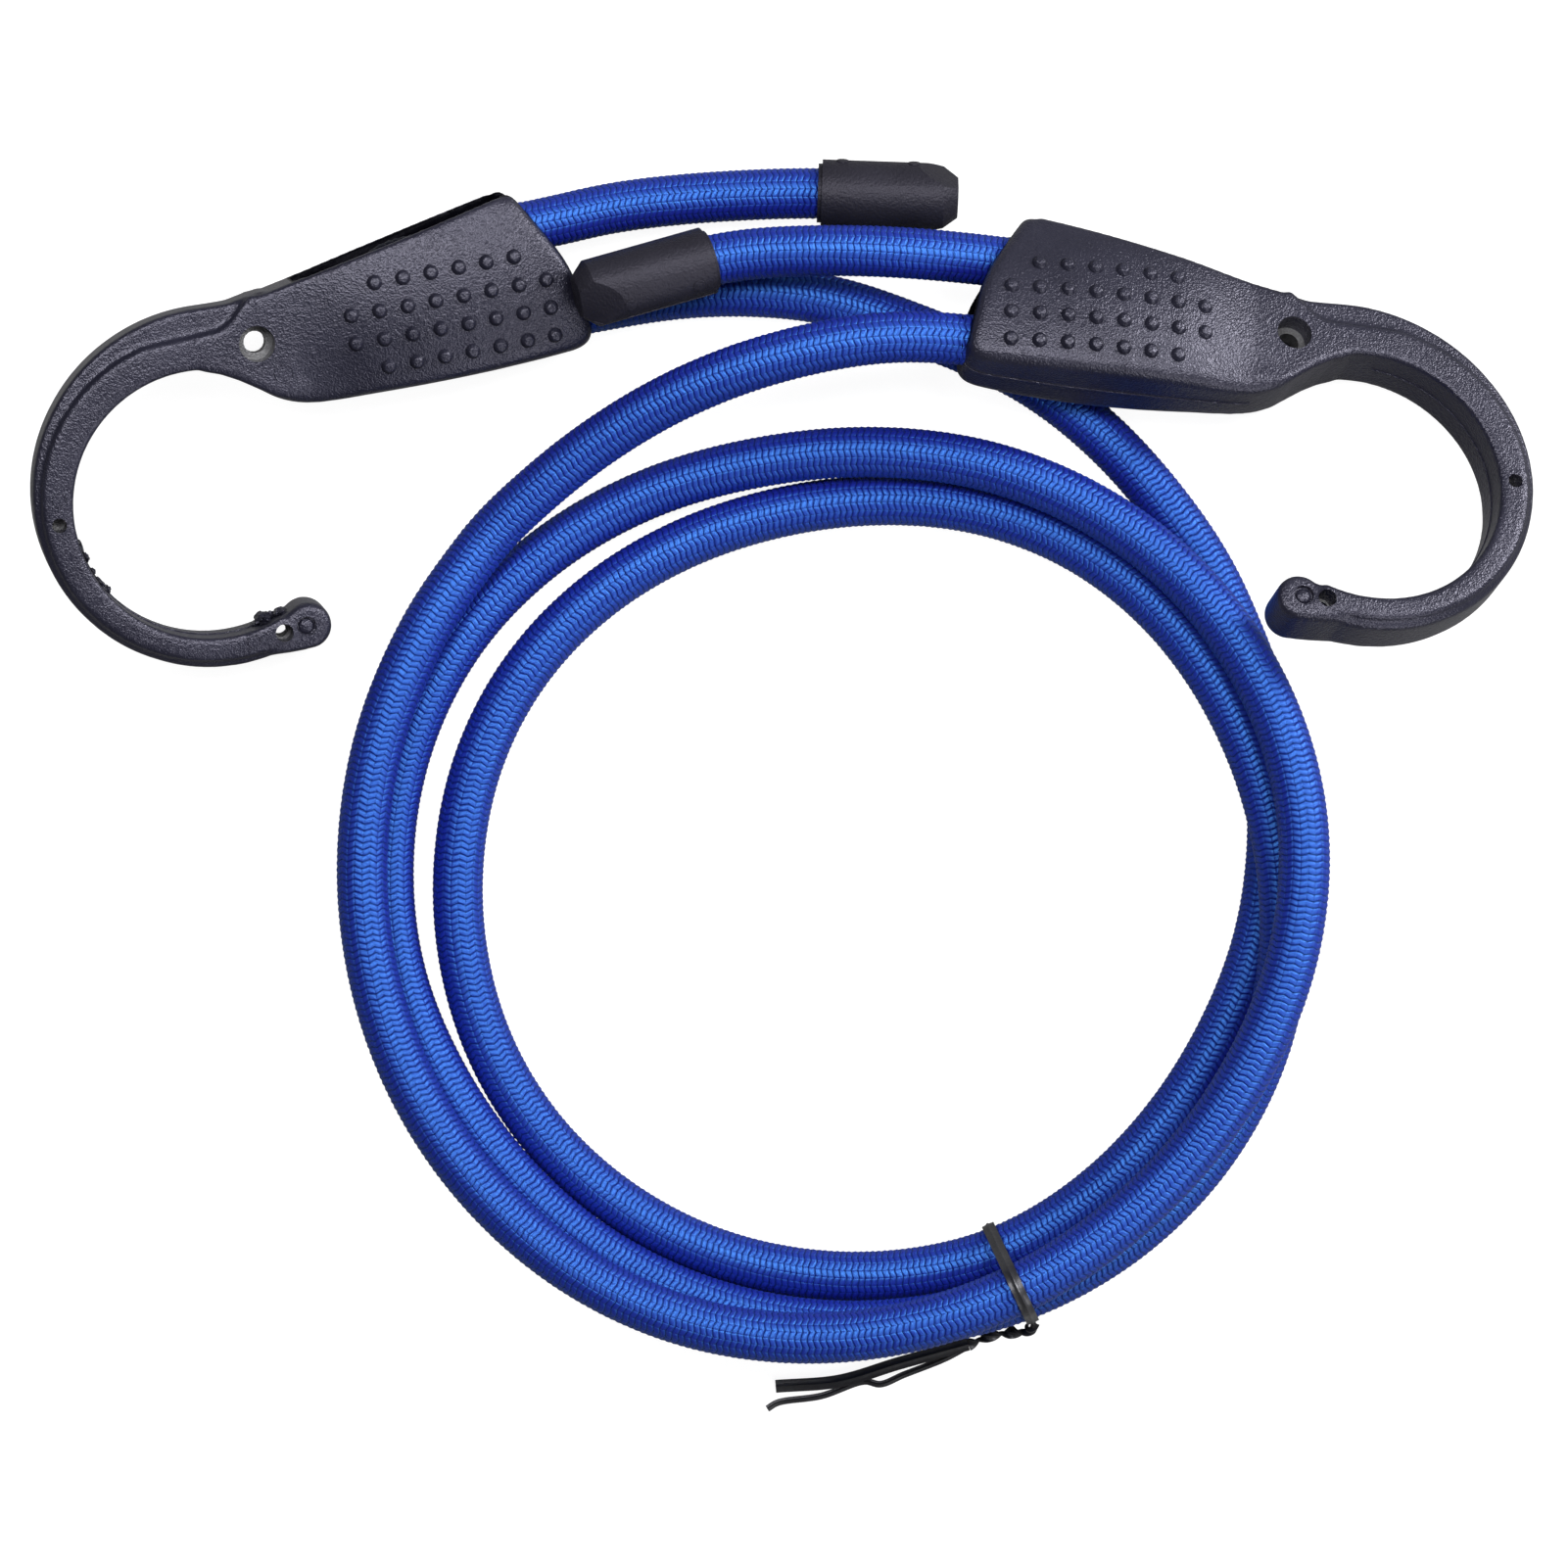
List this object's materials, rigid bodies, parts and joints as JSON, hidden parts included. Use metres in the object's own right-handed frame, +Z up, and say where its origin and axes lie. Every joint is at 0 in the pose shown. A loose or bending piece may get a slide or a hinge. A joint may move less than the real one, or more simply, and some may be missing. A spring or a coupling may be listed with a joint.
{
  "type": "bungee cord",
  "caption": "A blue braided bungee cord tied in a coil with a twist tie, with a hollow dotted plastic hook at each end and a black cap on each adjusting tail.",
  "frame": {"origin": "On the table, under the middle of the box round the two hooks.", "axes": "+X runs from the left hook to the right hook, +Y from the coil toward the hooks, +Z up from the table."},
  "size_m": [0.2645, 0.2247, 0.0358],
  "materials": {
    "hook_nylon": "fine grained, soft sheen",
    "cap_nylon": "smooth, dull",
    "steel": "plain stamped plate",
    "braid": "herringbone braid",
    "tie_ribbon": "smooth ribbon"
  },
  "bodies": {
    "coil": {"cord_coil": "braid", "twist_tie": "tie_ribbon"},
    "left_hook": {"left_hook_body": "hook_nylon", "left_hook_core": "steel", "left_cord_turn": "braid", "left_leg": "braid"},
    "right_hook": {"right_hook_body": "hook_nylon", "right_hook_core": "steel", "right_cord_turn": "braid", "right_leg": "braid"},
    "left_cap": {"left_cap_upper": "cap_nylon", "left_cap_lower": "cap_nylon", "left_tail": "braid"},
    "right_cap": {"right_cap_upper": "cap_nylon", "right_cap_lower": "cap_nylon", "right_tail": "braid"}
  },
  "joints": [
    {"name": "left_stretch", "type": "slide", "parent": "coil", "child": "left_hook", "axis": [-1, 0, 0], "range_m": [0, 0.04], "stiffness_N_per_m": 2000, "deforming": ["left_leg"]},
    {"name": "right_stretch", "type": "slide", "parent": "coil", "child": "right_hook", "axis": [1, 0, 0], "range_m": [0, 0.04], "stiffness_N_per_m": 2000, "deforming": ["right_leg"]},
    {"name": "left_tail_feed", "type": "slide", "parent": "left_hook", "child": "left_cap", "axis": [1, 0, 0], "range_m": [-0.03, 0.004], "deforming": ["left_tail"]},
    {"name": "right_tail_feed", "type": "slide", "parent": "right_hook", "child": "right_cap", "axis": [1, 0, 0], "range_m": [0, 0.035], "deforming": ["right_tail"]}
  ]
}
